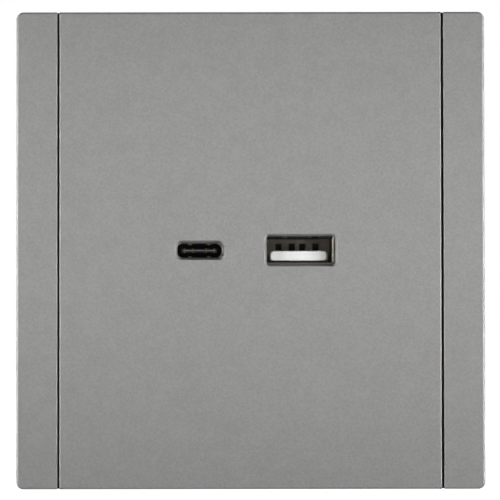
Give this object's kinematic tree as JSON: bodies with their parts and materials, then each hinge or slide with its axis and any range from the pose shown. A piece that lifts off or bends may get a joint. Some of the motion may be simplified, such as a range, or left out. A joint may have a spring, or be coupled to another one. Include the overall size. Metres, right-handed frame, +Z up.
{
  "type": "usb wall socket",
  "caption": "Flush wall socket with a USB-C and a USB-A charging port in a satin metallic grey plate between narrow side strips, with a power supply behind it.",
  "frame": {"origin": "centre of the cover on the wall plane, midway between the two box screws", "axes": "+Z up, +Y into the wall, so that the cover's face looks along -Y, +X to the right as seen from the front"},
  "size_m": [0.086, 0.0441, 0.0876],
  "materials": {
    "satin_lacquer": "satin metallic lacquer on moulded plastic",
    "zinc_steel": "bright zinc plate",
    "housing_plastic": "fine moulded grain",
    "board_laminate": "solder mask",
    "nickel_sheet": "nickel plate",
    "tongue_steel": "rolled",
    "tongue_plastic": "moulded",
    "ivory_plastic": "moulded",
    "black_plastic": "moulded",
    "gold_contact": "gold flash",
    "ferrite": "ground",
    "winding_tape": "taped copper",
    "enamel_wire": "enamelled copper",
    "can_sleeve": "shrunk sleeve",
    "can_aluminium": "drawn can",
    "yellow_case": "moulded",
    "blue_lacquer": "dipped",
    "terminal_plastic": "moulded",
    "pillar_brass": "turned"
  },
  "bodies": {
    "root": {"cover_frame": "satin_lacquer", "centre_plate": "satin_lacquer", "mounting_plate": "zinc_steel", "housing_screws": "zinc_steel", "board_screws": "zinc_steel", "terminal_screws": "zinc_steel", "front_housing": "housing_plastic", "rear_housing": "housing_plastic", "port_board": "board_laminate", "main_board": "board_laminate", "usb_a_shell": "nickel_sheet", "usb_c_shell": "nickel_sheet", "usb_c_mid_plate": "tongue_steel", "usb_c_insulator": "tongue_plastic", "usb_a_insulator": "ivory_plastic", "header_strip": "black_plastic", "transformer_bobbin": "black_plastic", "control_chips": "black_plastic", "bridge_rectifier": "black_plastic", "mains_fuse": "black_plastic", "usb_a_contacts": "gold_contact", "usb_c_contacts": "gold_contact", "header_pins": "gold_contact", "transformer_core": "ferrite", "choke_core": "ferrite", "transformer_winding": "winding_tape", "choke_winding": "enamel_wire", "bulk_capacitors": "can_sleeve", "output_capacitors": "can_aluminium", "suppression_capacitor": "yellow_case", "bridge_capacitor": "blue_lacquer", "terminal_block": "terminal_plastic", "terminal_pillars": "pillar_brass"}
  },
  "joints": []
}
